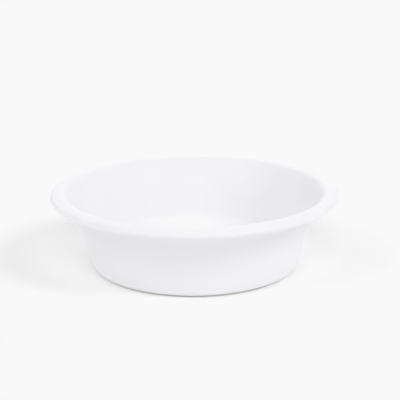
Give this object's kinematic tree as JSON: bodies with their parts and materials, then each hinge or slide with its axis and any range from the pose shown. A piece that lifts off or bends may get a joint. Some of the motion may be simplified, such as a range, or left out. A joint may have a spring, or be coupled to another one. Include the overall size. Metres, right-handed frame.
{
  "type": "evaporating dish",
  "caption": "Round flat-bottomed porcelain evaporating dish with tapered walls, a wide turned-out lip, no spout, and glaze inside and out over a bare foot ring.",
  "frame": {"origin": "centre of the foot, on the surface that the dish stands on", "axes": "+Z is the dish's axis of revolution, pointing up out of its mouth; X and Y are equivalent"},
  "size_m": [0.16, 0.16, 0.0434],
  "materials": {
    "biscuit_porcelain": "matte",
    "clear_glaze": "gloss"
  },
  "bodies": {
    "root": {"porcelain_body": "biscuit_porcelain", "inside_glaze": "clear_glaze", "outside_glaze": "clear_glaze", "base_glaze": "clear_glaze"}
  },
  "joints": []
}
